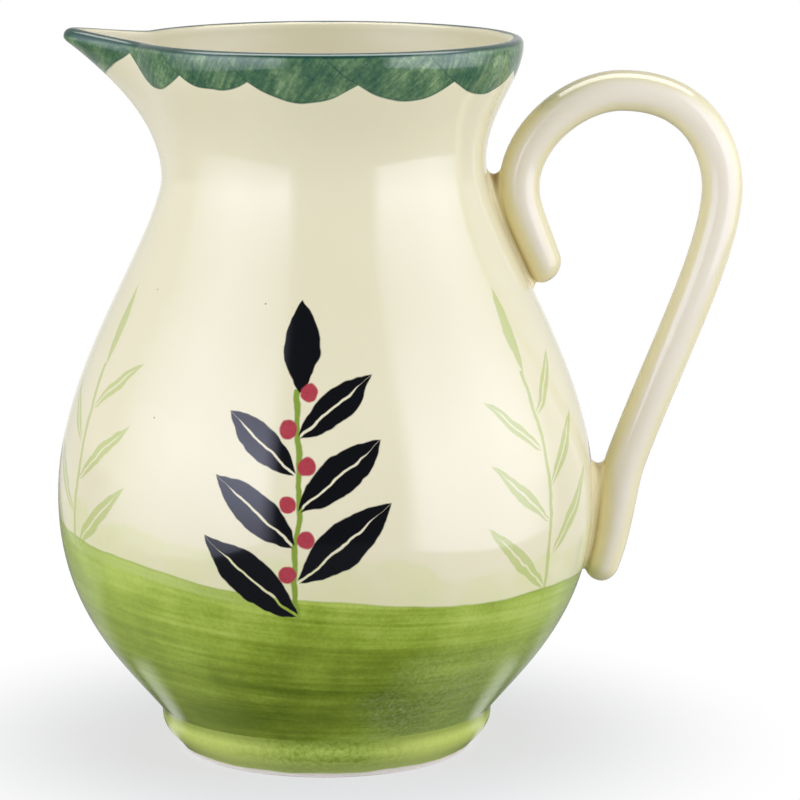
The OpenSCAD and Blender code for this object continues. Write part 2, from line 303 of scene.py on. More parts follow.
# %% Path of the rod
ROD_R = 5.68
HANDLE_TOP, HANDLE_FAR = 190.6, 116.25
TAIL_H, CURL_H, GRIP_H = 136.5, 158.0, 158.0
BEND_H, LOW_H = 82.0, 51.0
LUTE_GAP, CURL_GAP, BEND_GAP, GAP_POWER = 0.4, 2.2, 4.6, 3.6
CURL_PULLS, LOOP_PULLS, BACK_PULLS = (14, 13.5), (23.5, 8), (18, 29)
LYING_STEPS, BENT_STEPS = 20, 30


def lying(low_h, high_h, high_gap):
    points = []
    for t in (0, *shares(LYING_STEPS)):
        height = low_h + (high_h - low_h) * t
        gap = LUTE_GAP + (high_gap - LUTE_GAP) * t**GAP_POWER
        lean = (wall_r(height + ROD_R) - wall_r(height - ROD_R)) / (2 * ROD_R)
        points.append(Vector((wall_r(height) + (ROD_R + gap) * math.hypot(1, lean), height)))
    return points


def rod_x(run, height):
    for low, high in zip(run, run[1:]):
        if low.y <= height <= high.y:
            return x_between(low, high, height)
    low, high = run[:2] if height < run[0].y else run[-2:]
    return x_between(low, high, height)


tail = lying(TAIL_H, CURL_H, CURL_GAP)
low_end = lying(LOW_H, BEND_H, BEND_GAP)
grip = Vector((HANDLE_FAR - ROD_R, GRIP_H))
loop_top = Vector(((tail[-1].x + grip.x) / 2, HANDLE_TOP - ROD_R))
OUT = Vector((1, 0))
curl_way = (tail[-1] - tail[-2]).normalized()
bend_way = (low_end[-1] - low_end[-2]).normalized()
curl = pulled(tail[-1], CURL_PULLS[0] * curl_way, loop_top, CURL_PULLS[1] * OUT)
loop = pulled(loop_top, LOOP_PULLS[0] * OUT, grip, -LOOP_PULLS[1] * UP)
back = pulled(grip, -BACK_PULLS[0] * UP, low_end[-1], -BACK_PULLS[1] * bend_way)
rod_path = list(tail)
for curve in (curl, loop, back):
    rod_path += [along(curve, t) for t in shares(BENT_STEPS)]
rod_path += low_end[-2::-1]
END_ROUND = 5.0
rod_path.insert(0, rod_path[0] - END_ROUND * (rod_path[1] - rod_path[0]).normalized())
rod_path.append(rod_path[-1] + END_ROUND * (rod_path[-1] - rod_path[-2]).normalized())
rod_length = sum((b - a).length for a, b in zip(rod_path, rod_path[1:]))
print("rod length in mm:", round(rod_length, 1))

# %% Roll the rod and bend it
ROD_SIDES, ROD_RINGS, ROUND_RINGS, END_STEP, AT_END = 40, 170, 9, 6.0, 0.1
bpy.ops.mesh.primitive_circle_add(
    vertices=ROD_SIDES, radius=ROD_R * MM, fill_type="NGON", rotation=(0, math.pi / 2, 0)
)
handle = bpy.context.object
handle.name = handle.data.name = "handle"
bpy.ops.object.transform_apply()
edit_all()
ring_step = (rod_length - 2 * END_STEP) / ROD_RINGS
for step in [END_STEP] + [ring_step] * ROD_RINGS + [END_STEP]:
    bpy.ops.mesh.extrude_region_move(TRANSFORM_OT_translate={"value": (step * MM, 0, 0)})
bpy.ops.object.mode_set(mode="OBJECT")
for edge in handle.data.edges:
    ends = [handle.data.vertices[v].co.x / MM for v in edge.vertices]
    edge.select = max(ends) < AT_END or min(ends) > rod_length - AT_END
bpy.ops.object.mode_set(mode="EDIT")
bpy.ops.mesh.select_mode(type="EDGE")
bpy.ops.mesh.bevel(offset=END_ROUND * MM, segments=ROUND_RINGS, profile=0.5, affect="EDGES")
bpy.ops.mesh.select_mode(type="VERT")
face_outward()

path_data = bpy.data.curves.new("handle_path", "CURVE")
path_data.dimensions = "3D"
spline = path_data.splines.new("POLY")
spline.points.add(len(rod_path) - 1)
for point, at in zip(spline.points, rod_path):
    point.co = (at.x * MM, 0, at.y * MM, 1)
path = bpy.data.objects.new("handle_path", path_data)
bpy.context.scene.collection.objects.link(path)
bend = handle.modifiers.new("bend", "CURVE")
bend.object = path
bend.deform_axis = "POS_X"
bpy.ops.object.modifier_apply(modifier="bend")
bpy.data.objects.remove(path)

# Each end: its run, the height where it starts to thin, and how far from the axis it reaches.
THIN_SHARE, THIN_POWER = 0.17, 1.5
THINNED = ((tail, 150.0, 80.0), (low_end, 72.0, 92.0))
for run, thin_from, reach in THINNED:
    thin_to = run[0].y - END_ROUND
    for vertex in handle.data.vertices:
        x, y, z = vertex.co / MM
        if thin_to - 1 < z < thin_from and x < reach:
            axis_x = rod_x(run, z)
            kept = 1 - THIN_SHARE * ((thin_from - z) / (thin_from - thin_to)) ** THIN_POWER
            vertex.co = Vector((axis_x - ROD_R + (x - axis_x + ROD_R) * kept, y * kept, z)) * MM
bpy.ops.object.shade_smooth()
print("handle:", len(handle.data.polygons), "faces, size", [round(v, 4) for v in handle.dimensions])

# %% [markdown]
# ## The slip that holds the rod
# Where the rod lies on the pot, the potter runs a ring of wet slip round the contact and smooths it with
# a finger, so a hollow fillet goes all the way round each joint. A ring is what a torus is, so each
# fillet starts as one. Going round the torus is going round the contact, and half of its section
# becomes the hollow face, which leaves the wall and meets the rod without a crease. The other half
# stays hidden in the crevice.

# %% Fillet round a joint
SLIP_STATIONS, SLIP_SECTION = 120, 24
TORUS_R, TORUS_THICK = 0.02, 0.004
SINK, DEEP_HALF, TUCK = 0.35, 0.5, 1.3
LEAST_POOL, LOW_POOL, POOL_POWER = 0.22, 0.55, 1.5
LEAN_STEP, LEAST_SHARE, SIDE_LIMIT = 2, 0.02, 0.96


def on_wall(height, y):
    return Vector((math.sqrt(max(0, (wall_r(height) - SINK) ** 2 - y * y)), y, height))


def on_rod(run, height, y):
    lean = (rod_x(run, height + LEAN_STEP) - rod_x(run, height - LEAN_STEP)) / (2 * LEAN_STEP)
    radius = ROD_R
    if height < run[0].y:
        radius *= math.sqrt(max(LEAST_SHARE, 1 - ((run[0].y - height) / END_ROUND) ** 2))
    deep = math.sqrt(radius**2 - min(abs(y), SIDE_LIMIT * radius) ** 2) - SINK
    return Vector((rod_x(run, height) - deep * math.hypot(1, lean), y, height))


def squared(value):
    return math.copysign(math.sqrt(abs(value)), value)


def lute(name, run, rod_span, wall_span, dips, wall_half, rod_half, gathered):
    bpy.ops.mesh.primitive_torus_add(
        major_segments=SLIP_STATIONS, minor_segments=SLIP_SECTION,
        major_radius=TORUS_R, minor_radius=TORUS_THICK,
    )
    slip = bpy.context.object
    slip.name = slip.data.name = name
    pool = slip.data.attributes.new("pooled", "FLOAT", "POINT")
    (rod_mid, rod_reach), (wall_mid, wall_reach) = [
        ((low + high) / 2, (high - low) / 2) for low, high in (rod_span, wall_span)
    ]
    for vertex in slip.data.vertices:
        x, y, z = vertex.co
        round_joint = math.atan2(y, x)
        t = math.atan2(z, math.hypot(x, y) - TORUS_R) / math.pi
        side, climb = squared(math.sin(round_joint)), squared(math.cos(round_joint))
        dip = dips[0] if climb < 0 else dips[1]
        foot_point = on_wall(wall_mid + wall_reach * climb, wall_half * side)
        rod_point = on_rod(run, rod_mid + rod_reach * climb, rod_half * side)
        deep_wall = on_wall(wall_mid + (wall_reach - dip) * climb, DEEP_HALF * wall_half * side)
        deep_rod = on_rod(run, rod_mid + (rod_reach - dip) * climb, DEEP_HALF * rod_half * side)
        deep = (deep_wall + deep_rod) / 2
        if t >= 0:
            at = along([foot_point, deep_wall, deep_rod, rod_point], t)
        else:
            at = (1 + t) * foot_point - t * rod_point
            at += (deep - (foot_point + rod_point) / 2) * TUCK * math.sin(-math.pi * t)
        vertex.co = at * MM
        deepness = gathered * (LOW_POOL + (1 - LOW_POOL) * max(0, climb) ** 2)
        deepness *= math.sin(math.pi * abs(t)) ** POOL_POWER
        pool.data[vertex.index].value = max(LEAST_POOL, deepness)
    bpy.ops.object.mode_set(mode="EDIT")
    face_outward()
    bpy.ops.object.shade_smooth()
    return slip


curl_run = tail + [along(curl, t) for t in shares(20)[:11]]
upper_slip = lute(
    "upper_handle_slip", curl_run, rod_span=(131.9, 165.6), wall_span=(128.2, 165.4),
    dips=(1.2, 5.0), wall_half=4.2, rod_half=3.6, gathered=1.0,
)
lower_slip = lute(
    "lower_handle_slip", low_end, rod_span=(49.2, 82.4), wall_span=(48.3, 83.0),
    dips=(0.6, 4.0), wall_half=5.2, rod_half=4.3, gathered=0.8,
)
for slip in (upper_slip, lower_slip):
    print(slip.name, [round(v, 4) for v in slip.dimensions])

# %% [markdown]
# ## Finding a place on the pot
# All brushwork on a jug follows its turning, so the colours need to know, at each place, the angle round
# the axis, the radius and the height. They come from Object coordinates, which stay put when the
# jug is moved or exported. One small helper adds a node with its settings and links to the material,
# world or lamp that it was made for. A node that is given as an input stands for its first output, and
# a string for a colour.

# %% Node helper and colour helper
def colour(code):
    parts = [int(code[i : i + 2], 16) / 255 for i in (0, 2, 4)]
    linear = [p / 12.92 if p <= 0.04045 else ((p + 0.055) / 1.055) ** 2.4 for p in parts]
    return (*linear, 1)


def node_adder(owner):
    owner.use_nodes = True
    tree = owner.node_tree
    tree.nodes.clear()

    def add(kind, inputs=(), operation=None, stops=(), knots=(), **settings):
        node = tree.nodes.new("ShaderNode" + kind)
        if operation:
            node.operation = operation
        for key, value in settings.items():
            setattr(node, key, value)
        for key, value in inputs.items() if isinstance(inputs, dict) else enumerate(inputs):
            if isinstance(value, str):
                value = colour(value)
            if isinstance(value, bpy.types.Node):
                value = value.outputs[0]
            if isinstance(value, bpy.types.NodeSocket):
                tree.links.new(value, node.inputs[key])
            else:
                node.inputs[key].default_value = value
        for at, code in stops:
            node.color_ramp.elements.new(at).color = colour(code)
        for default_stop in (0, -1) if stops else ():
            node.color_ramp.elements.remove(node.color_ramp.elements[default_stop])
        for i, knot in enumerate(knots):
            track = node.mapping.curves[0].points
            point = track[i] if i < 2 else track.new(*knot)
            point.location, point.handle_type = knot, "VECTOR"
        if knots:
            node.mapping.update()
        return node

    return add


def start_glaze(name):
    material = bpy.data.materials.new(name)
    add = node_adder(material)
    place = add("TexCoord").outputs["Object"]
    place_mm = add("VectorMath", [place, (1 / MM,) * 3], "MULTIPLY")
    return material, add, place_mm, add("SeparateXYZ", [place_mm]).outputs


def end_glaze(add, material, shown, roughness, skin, pieces):
    surface = {"Base Color": shown, "Roughness": roughness, "IOR": GLAZE_IOR, "Normal": skin}
    add("OutputMaterial", [add("BsdfPrincipled", surface)])
    for piece in pieces:
        piece.data.materials.append(material)
    print(material.name, "nodes:", len(material.node_tree.nodes))


GLAZE_IOR = 1.56
print("mid grey in linear light:", round(colour("808080")[0], 4))

# %% [markdown]
# ## The painted glaze
# The jug is white-burning earthenware under a cream glaze that was fired to a glossy, glass-like skin,
# with colours brushed on under it. To the eye that is a soft, even cream with sharp reflections on
# top, and colour that is thick and dark where the brush turned and thin where it ran dry. The next
# cells build one material in that order: cream first, then each band of brushwork over it.

# %% Place on the pot: angle, radius, height
glaze, add, place_mm, (x_mm, y_mm, height) = start_glaze("Cream_earthenware_glaze_with_brushed_colours")
flat = add("CombineXYZ", [x_mm, y_mm])
radius = add("VectorMath", [flat], "LENGTH").outputs["Value"]
round_x, round_y, _ = add("SeparateXYZ", [add("VectorMath", [flat], "NORMALIZE")]).outputs
toward = add("Math", [y_mm, -1], "MULTIPLY")
angle = add("Math", [x_mm, toward], "ARCTAN2")
inner_side = add("Attribute", attribute_name="inner_side").outputs["Fac"]
down = add("Attribute", attribute_name="down_wall").outputs["Fac"]
outer = add("Math", [inner_side, 0.5], "LESS_THAN")
print("place nodes:", len(glaze.node_tree.nodes))

# %% Cream glaze
# Glaze pools and thins by a few tenths of a millimetre over patches of a few centimetres.
# The brushwork needs noises of other sizes, so one loop makes them all from a size in millimetres
# and a detail. Most of a noise lies within NOISE_SPAN, and later steps map that span to what they need.
NOISES = {"patches": (38, 3), "wobble": (14, 1), "blotches": (9, 3), "wander": (34, 3), "wash": (20, 3)}
NOISES |= {"clouds": (16, 4), "frost": (45, 2), "shake": (7, 2), "swells": (24, 1), "peel": (1.1, 1)}
NOISE_SPAN = (0.3, 0.7)
SOFT = {"interpolation_type": "SMOOTHSTEP"}
noise = {}
for name, (size_mm, detail) in NOISES.items():
    noise[name] = add("TexNoise", {"Vector": place_mm, "Scale": 1 / size_mm, "Detail": detail})
cream = add("MixRGB", [noise["patches"], "E2DCB4", "DAD3A7"])
# The inside is painted a darker cream: painted shade inside the jug.
inside_painted_shade = add("Math", [inner_side, 0.12], "MULTIPLY")
cream = add("MixRGB", [inside_painted_shade, cream, "CFC298"])
print("noises:", len(noise))

# %% [markdown]
# ## Scallops round the rim
# A loaded brush is pressed down and swept in a row of arcs round the lip. Each arc is a little wider than
# its share, so it laps over its neighbour and leaves a dark edge there. Widths and depths are uneven,
# as by hand: one curve node turns the angle into a count of arcs, and a second one gives each arc
# its depth. Even and odd arcs are drawn as two layers, and in each arc the strokes lean their own way.
# The arc on the beak comes to a point at the keel.

# %% Count of arcs round the rim
ARC_CUSPS = [-190, -158, -131, -109.4, -70.6, -45.6, -22.3, 9.4, 40, 73, 105, 137, 170]
COUNT_SCALE = len(ARC_CUSPS)
ARC_DEPTHS = [12.8, 13.8, 12.6, 13.2, 13.8, 11.8, 15.6, 15.3, 15.2, 13.6, 13.8, 12.8]
DEEPEST_MM = 20
turn = add("MapRange", [angle, -math.pi, math.pi])
first = (-180 - ARC_CUSPS[0]) / (ARC_CUSPS[1] - ARC_CUSPS[0]) / COUNT_SCALE
count_knots = [((a + 180) / 360, i / COUNT_SCALE) for i, a in enumerate(ARC_CUSPS) if -180 < a < 180]
ends = [(0.0, first), (1.0, first + len(ARC_DEPTHS) / COUNT_SCALE)]
counter = add("FloatCurve", {"Value": turn}, knots=ends + count_knots)
middles = [(a + b) / 2 for a, b in zip(ARC_CUSPS, ARC_CUSPS[1:])]
depth_knots = [((a + 180) / 360, d / DEEPEST_MM) for a, d in zip(middles, ARC_DEPTHS)]
ends = [(0.0, ARC_DEPTHS[0] / DEEPEST_MM), (1.0, ARC_DEPTHS[0] / DEEPEST_MM)]
arc_depth = add("FloatCurve", {"Value": turn}, knots=ends + depth_knots)
arc_depth = add("Math", [arc_depth, DEEPEST_MM], "MULTIPLY")
halves = add("Math", [counter, COUNT_SCALE / 2], "MULTIPLY")
uneven = add("MapRange", [noise["wobble"], 0, 1, -1, 1])
below_rim = add("Math", [down, uneven], "ADD")
print("arcs:", len(ARC_CUSPS) - 1)

# %% Two layers of arcs
BEAK_AT, BEAK_SPAN = math.radians(-90), (0.34, 0.5)
ARC_LAP, BEAK_LAP, ARC_ROUND, BEAK_ROUND, STROKE_LEAN = 1.75, 1.44, 2.0, 1.1, (0.5, 1.4)
STROKE_LONG_MM, STROKE_WIDE_MM, MEAN_ARC_MM = 8, 1.4, 29
from_beak = add("Math", [angle, BEAK_AT], "SUBTRACT")
from_beak = add("Math", [from_beak], "ABSOLUTE")
lap = add("MapRange", [from_beak, *BEAK_SPAN, BEAK_LAP, ARC_LAP])
roundness = add("MapRange", [from_beak, *BEAK_SPAN, BEAK_ROUND, ARC_ROUND])
layers = []
for start in (0.25, 0.75):
    shifted = add("Math", [halves, start], "SUBTRACT")
    number = add("Math", [shifted], "ROUND")
    offset = add("Math", [shifted, number], "SUBTRACT")
    within = add("Math", [offset, 4], "MULTIPLY")
    within = add("Math", [within, lap], "DIVIDE")
    fall = add("Math", [within], "ABSOLUTE")
    fall = add("Math", [fall, roundness], "POWER")
    bulge = add("Math", [1, fall], "SUBTRACT")
    chance = add("TexWhiteNoise", {"Vector": (start, 0, 0), "W": number}, noise_dimensions="4D")
    depth = add("Math", [bulge, arc_depth], "MULTIPLY")
    cover = add("Math", [depth, below_rim], "SUBTRACT")
    sideways = add("Math", [offset, 2 * MEAN_ARC_MM], "MULTIPLY")
    apart = add("Math", [number, 9 + 40 * start], "MULTIPLY")
    stroke = add("CombineXYZ", [sideways, below_rim, apart])
    lean = add("MapRange", [chance, 0, 1, *STROKE_LEAN])
    stroke = add("VectorRotate", {"Vector": stroke, "Angle": lean}, rotation_type="Z_AXIS")
    layers.append((cover, within, stroke))
(cover_a, within_a, stroke_a), (cover_b, _, stroke_b) = layers
on_a, on_b = [add("Math", [cover, 0], "GREATER_THAN") for cover in (cover_a, cover_b)]
right_of_a = add("Math", [within_a, 0], "GREATER_THAN")
hidden_a = add("Math", [right_of_a, on_b], "MULTIPLY")
shown_a = add("Math", [on_a, hidden_a], "SUBTRACT", use_clamp=True)
shown_cover = add("MixRGB", [shown_a, cover_b, cover_a])
stroke = add("MixRGB", [shown_a, stroke_b, stroke_a])
cover = add("Math", [cover_a, cover_b], "MAXIMUM")
arc_mask = add("MapRange", [cover, -0.1, 0.3])
arc_mask = add("Math", [arc_mask, outer], "MULTIPLY")
print("arc layers:", len(layers))

# %% Brush streaks in the arcs
GRAIN_MM = 1.1
stroke_size = (1 / STROKE_LONG_MM, 1 / STROKE_WIDE_MM, 1)
stroke = add("VectorMath", [stroke, stroke_size], "MULTIPLY")
bristles = add("TexNoise", {"Vector": stroke, "Scale": 1, "Detail": 3, "Roughness": 0.6})
grain = add("TexNoise", {"Vector": place_mm, "Scale": 1 / GRAIN_MM, "Detail": 4, "Roughness": 0.75})
load = add("MapRange", [bristles, *NOISE_SPAN, 0, 0.32])
blotch = add("MapRange", [noise["blotches"], 0.32, 0.68, 0, 0.34])
speckle = add("MapRange", [grain, *NOISE_SPAN, 0, 0.3])
for part in (blotch, speckle):
    load = add("Math", [load, part], "ADD")
GREEN_STOPS = ((0.15, "2F533F"), (0.4, "4A6A48"), (0.6, "658257"), (0.9, "9AB27C"))
rim_green = add("ValToRGB", [load], stops=GREEN_STOPS)
edge_dark = add("MapRange", [shown_cover, 0, 0.8, 0.75, 0])
rim_green = add("MixRGB", [edge_dark, rim_green, "234B3B"])
print("stroke length and width in mm:", STROKE_LONG_MM, STROKE_WIDE_MM)

# %% Dark line on the lip
LINE_OUT_MM, LINE_IN_MM, BEAK_LINE_MM = 2.3, 0.9, 0.8
line_low = add("MapRange", [inner_side, 0.3, 0.7, LINE_OUT_MM, LINE_IN_MM])
uneven = add("MapRange", [noise["wobble"], *NOISE_SPAN, -0.25, 0.25])
beak_line = add("MapRange", [from_beak, 0.08, 0.36, BEAK_LINE_MM, 0])
beak_line = add("Math", [beak_line, outer], "MULTIPLY")
for part in (uneven, beak_line):
    line_low = add("Math", [line_low, part], "ADD")
lip_line = add("Math", [line_low, down], "SUBTRACT")
lip_line = add("MapRange", [lip_line, -0.25, 0.3])
lip_green = add("MixRGB", [bristles, "12352C", "2C5844"])
painted = cream
for mask, paint in ((arc_mask, rim_green), (lip_line, lip_green)):
    painted = add("MixRGB", [mask, painted, paint])
print("lip line down to", LINE_OUT_MM, "mm outside")

# %% [markdown]
# ## The brushed ground at the base
# With the jug turning on a banding wheel, a broad brush of leaf green is held against the lower belly. That
# leaves level streaks, a top edge that tilts and wanders, and above it a wash where the brush was
# nearly dry. The streaks are noise that is stretched round the pot: long round it, fine up it. Soft
# clouds make it uneven, the colour is thinner on the left near its top edge, both sides are painted
# paler as painted light from the sides, and low down on one side fine bubbles give the glaze a
# frosted patch.

# %% Edge of the ground and its wash
EDGE_MEAN, EDGE_TILT, EDGE_BOW, UNDER_FOOT_R = 58.6, 7.2, 1.6, 36.0
WASH_REACH = (6.0, 14.0)
slant = add("Math", [round_x, 2 * EDGE_BOW, -EDGE_TILT], "MULTIPLY_ADD")
edge = add("Math", [slant, round_x, EDGE_MEAN - EDGE_BOW], "MULTIPLY_ADD")
wander = add("MapRange", [noise["wander"], *NOISE_SPAN, -0.9, 0.9])
under_edge = add("Math", [edge, height], "SUBTRACT")
under_edge = add("Math", [under_edge, wander], "ADD")
wash_reach = add("MapRange", [noise["wash"], *NOISE_SPAN, *WASH_REACH])
wash = add("Math", [under_edge, wash_reach], "ADD")
wash_mask = add("MapRange", [wash, -0.6, 2.2], **SOFT)
blotch = add("MapRange", [noise["blotches"], *NOISE_SPAN, 0.28, 0.72])
wash_mask = add("Math", [wash_mask, blotch], "MULTIPLY")
ground_mask = add("MapRange", [under_edge, -0.2, 0.45], **SOFT)
foot_side = add("Math", [radius, UNDER_FOOT_R], "GREATER_THAN")
ground_side = add("Math", [foot_side, outer], "MULTIPLY")
ground_mask, wash_mask = [
    add("Math", [mask, ground_side], "MULTIPLY") for mask in (ground_mask, wash_mask)
]
print("ground edge from", EDGE_MEAN - EDGE_TILT, "to", EDGE_MEAN + EDGE_TILT, "mm high")

# %% Streaks of the ground
span = add("Math", [edge, FOOT_H], "SUBTRACT")
climb = add("Math", [height, FOOT_H], "SUBTRACT")
climb = add("Math", [climb, span], "DIVIDE")
turned_place = add("CombineXYZ", [round_x, round_y, climb])
ground_streaks = []
for around, across, detail in ((0.8, 6.5, 3.0), (1.5, 30.0, 5.0)):
    stroke = add("VectorMath", [turned_place, (around, around, across)], "MULTIPLY")
    ground_streaks.append(add("TexNoise", {"Vector": stroke, "Scale": 1, "Detail": detail}))
broad = add("MapRange", [ground_streaks[0], *NOISE_SPAN, 0, 0.42])
fine = add("MapRange", [ground_streaks[1], *NOISE_SPAN, 0, 0.28])
cloud = add("MapRange", [noise["clouds"], 0.35, 0.65, -0.12, 0.16])
sponge = add("MapRange", [grain, *NOISE_SPAN, -0.05, 0.15])
high = add("MapRange", [climb, 0.35, 1, 0, 0.24])
load = broad
for part in (fine, cloud, sponge, high):
    load = add("Math", [load, part], "ADD")
GROUND_STOPS = ((0.12, "5E7213"), (0.38, "788B23"), (0.62, "90A534"), (0.95, "B2C356"))
ground = add("ValToRGB", [load], stops=GROUND_STOPS)
thin_left = add("MapRange", [round_x, -0.1, -0.6, 0, 0.55])
thin_top = add("MapRange", [under_edge, 2.6, 4.4, 1, 0], **SOFT)
thin = add("Math", [thin_left, thin_top], "MULTIPLY")
# Both sides of the ground are painted paler where the side light falls: painted light.
painted_side_light = add("Math", [round_x], "ABSOLUTE")
painted_side_light = add("MapRange", [painted_side_light, 0.3, 0.95, 0, 0.45])
frost_side = add("MapRange", [round_x, -0.05, 0.75, -0.2, 0.16])
frosted = add("Math", [noise["frost"], frost_side], "ADD")
frost_high = add("MapRange", [climb, 0.3, 0.75, 0.04, -0.16])
frosted = add("Math", [frosted, frost_high], "ADD")
frosted = add("MapRange", [frosted, 0.48, 0.66])
bubbles = add("MapRange", [grain, 0.42, 0.66, 0.05, 0.6])
frosted = add("Math", [frosted, bubbles], "MULTIPLY")
rim_of_ground = add("MapRange", [under_edge, 0.3, 0.9, 0.35, 0])
for mask, code in ((thin, "BCC878"), (painted_side_light, "B6C766"), (frosted, "A4B878"), (rim_of_ground, "7C9230")):
    ground = add("MixRGB", [mask, ground, code])
for mask, paint in ((wash_mask, "D2D494"), (ground_mask, ground)):
    painted = add("MixRGB", [mask, painted, paint])
print("ground streak layers:", len(ground_streaks))

# %% [markdown]
# ## Leaf sprigs on the belly
# A ring of six upright sprigs stands on the ground. Three have black leaves that get smaller upwards and
# red berries in the forks, and between them stand three slim sprigs in a thin pale green. One sprig
# is drawn with sums on the angle and the height, and folding the angle repeats it round the pot.
# Folding the height repeats the leaf up the stalk, and the two sides of the stalk are half a step
# apart. Each leaf is a lens with a scratched midrib.

# %% Fold the angle into sprigs
SPRIGS, SPRIG_TURN = 6, math.radians(6)
WOBBLE_MM, SLIM_SHARE = 0.55, 0.42
fold = 2 * math.pi / SPRIGS
turned = add("Math", [angle, SPRIG_TURN], "ADD")
sprig = add("Math", [turned, fold], "DIVIDE")
sprig = add("Math", [sprig], "ROUND")
pale = add("Math", [sprig, 1], "PINGPONG")
folded = add("Math", [turned, fold / 2, -fold / 2], "WRAP")
across = add("Math", [folded, radius], "MULTIPLY")
shake_span = [(4 * WOBBLE_MM,) * 3, (-2 * WOBBLE_MM,) * 3]
shake = add("VectorMath", [noise["shake"].outputs["Color"], *shake_span], "MULTIPLY_ADD")
shake_x, shake_y, _ = add("SeparateXYZ", [shake]).outputs
across = add("Math", [across, shake_x], "ADD")
up = add("Math", [height, shake_y], "ADD")
right = add("Math", [across, 0], "GREATER_THAN")
beside = add("Math", [across], "ABSOLUTE")
slim = add("MapRange", [pale, 0, 1, 1, SLIM_SHARE])
print("sprigs:", SPRIGS, "each", round(2 * math.pi * BELLY_R / SPRIGS), "mm from the next")

# %% Leaves
LEAF_STEP, LEAF_BASE, LEAF_PAIRS = 19.0, 53.0, 3
LEAF_LONG, LEAF_HALF, LEAF_RISE = 33.0, 6.0, math.radians(40)
RIB_MM, TOP_LEAF_SHARE = 0.3, 0.62
lowest = add("Math", [right, LEAF_STEP / 2, LEAF_BASE], "MULTIPLY_ADD")
rise = add("Math", [up, lowest], "SUBTRACT")
pair = add("Math", [rise, LEAF_STEP], "DIVIDE")
pair = add("Math", [pair], "FLOOR")
local = add("Math", [pair, -LEAF_STEP, rise], "MULTIPLY_ADD")
leaf_masks, leaf_places = [], []
for earlier in (0, 1):
    leaf_number = add("Math", [pair, earlier], "SUBTRACT")
    leaf_up = add("Math", [local, earlier * LEAF_STEP], "ADD")
    spot = add("CombineXYZ", [beside, leaf_up])
    lying_leaf = add("VectorRotate", {"Vector": spot, "Angle": -LEAF_RISE}, rotation_type="Z_AXIS")
    leaf_places.append(lying_leaf)
    leaf_x, leaf_y, _ = add("SeparateXYZ", [lying_leaf]).outputs
    size = add("MapRange", [leaf_number, 0, LEAF_PAIRS, 1, TOP_LEAF_SHARE])
    length = add("Math", [size, LEAF_LONG], "MULTIPLY")
    share = add("Math", [leaf_x, length], "DIVIDE")
    rest = add("Math", [1, share], "SUBTRACT")
    lens = share
    for factor in (rest, 4 * LEAF_HALF, size, slim):
        lens = add("Math", [lens, factor], "MULTIPLY")
    off = add("Math", [leaf_y], "ABSOLUTE")
    inside_leaf = add("Math", [lens, off], "SUBTRACT")
    real = add("Math", [leaf_number, (LEAF_PAIRS - 1) / 2, LEAF_PAIRS / 2], "COMPARE")
    leaf = add("MapRange", [inside_leaf, -0.1, 0.25])
    leaf = add("Math", [leaf, real], "MULTIPLY")
    rib_end = add("MapRange", [share, 0.86, 0.7, 0, RIB_MM])
    rib = add("Math", [rib_end, off], "SUBTRACT")
    rib = add("MapRange", [rib, -0.12, 0.12, 1, 0])
    leaf_masks.append(add("Math", [leaf, rib], "MULTIPLY"))
leaves = add("Math", leaf_masks, "MAXIMUM")
print("leaves on each sprig:", 2 * LEAF_PAIRS)

# %% Stalk, top leaf and berries
STALK_HALF, STALK_TOP, TOP_LONG, TOP_HALF = 0.75, 113.0, 23.0, 5.0
SWAY_MM, SWAY_RATE, TOP_START, PALE_THICK = 0.7, 1 / 8, STALK_TOP - 1, 0.6
BERRY_R, BERRY_ALONG, BERRY_OVER = 2.5, 9.5, 7.3
sway = add("Math", [up, SWAY_RATE], "MULTIPLY")
sway = add("Math", [sway], "SINE")
stalk = add("Math", [sway, SWAY_MM, across], "MULTIPLY_ADD")
stalk = add("Math", [stalk], "ABSOLUTE")
stalk = add("Math", [STALK_HALF, stalk], "SUBTRACT")
stalk = add("MapRange", [stalk, -0.15, 0.2])
stalk_end = add("Math", [up, STALK_TOP], "LESS_THAN")
stalk_low = add("MapRange", [under_edge, 1, 9, 1, 0])
for part in (stalk_end, stalk_low):
    stalk = add("Math", [stalk, part], "MULTIPLY")

top_share = add("MapRange", [up, TOP_START, TOP_START + TOP_LONG], clamp=False)
top_rest = add("Math", [1, top_share], "SUBTRACT")
top = top_share
for factor in (top_rest, 4 * TOP_HALF, slim):
    top = add("Math", [top, factor], "MULTIPLY")
top = add("Math", [top, beside], "SUBTRACT")
top = add("MapRange", [top, -0.1, 0.25])
leaves = add("Math", [leaves, top], "MAXIMUM")

berry_place = (BERRY_ALONG, BERRY_OVER, 0)
berry = add("VectorMath", [leaf_places[0], berry_place], "DISTANCE").outputs["Value"]
berry = add("Math", [BERRY_R, berry], "SUBTRACT")
berry = add("MapRange", [berry, -0.1, 0.3])
berry_real = add("Math", [pair, (LEAF_PAIRS - 1) / 2, LEAF_PAIRS / 2], "COMPARE")
berry = add("Math", [berry, berry_real], "MULTIPLY")
berry = add("Math", [berry, pale], "SUBTRACT", use_clamp=True)

leaves, stalk, berry = [add("Math", [mask, ground_side], "MULTIPLY") for mask in (leaves, stalk, berry)]
thick = add("MapRange", [pale, 0, 1, 1, PALE_THICK])
leaves, stalk = [add("Math", [mask, thick], "MULTIPLY") for mask in (leaves, stalk)]
leaf_paint = add("MixRGB", [pale, "0D0E10", "A3B54E"])
berry_tone = add("MixRGB", [grain, "8E2A33", "BC4C50"])
stalk_paint = add("MixRGB", [pale, "7F9634", "A3B54E"])
for mask, paint in ((stalk, stalk_paint), (leaves, leaf_paint), (berry, berry_tone)):
    painted = add("MixRGB", [mask, painted, paint])
print("berries on each dark sprig:", 2 * LEAF_PAIRS)

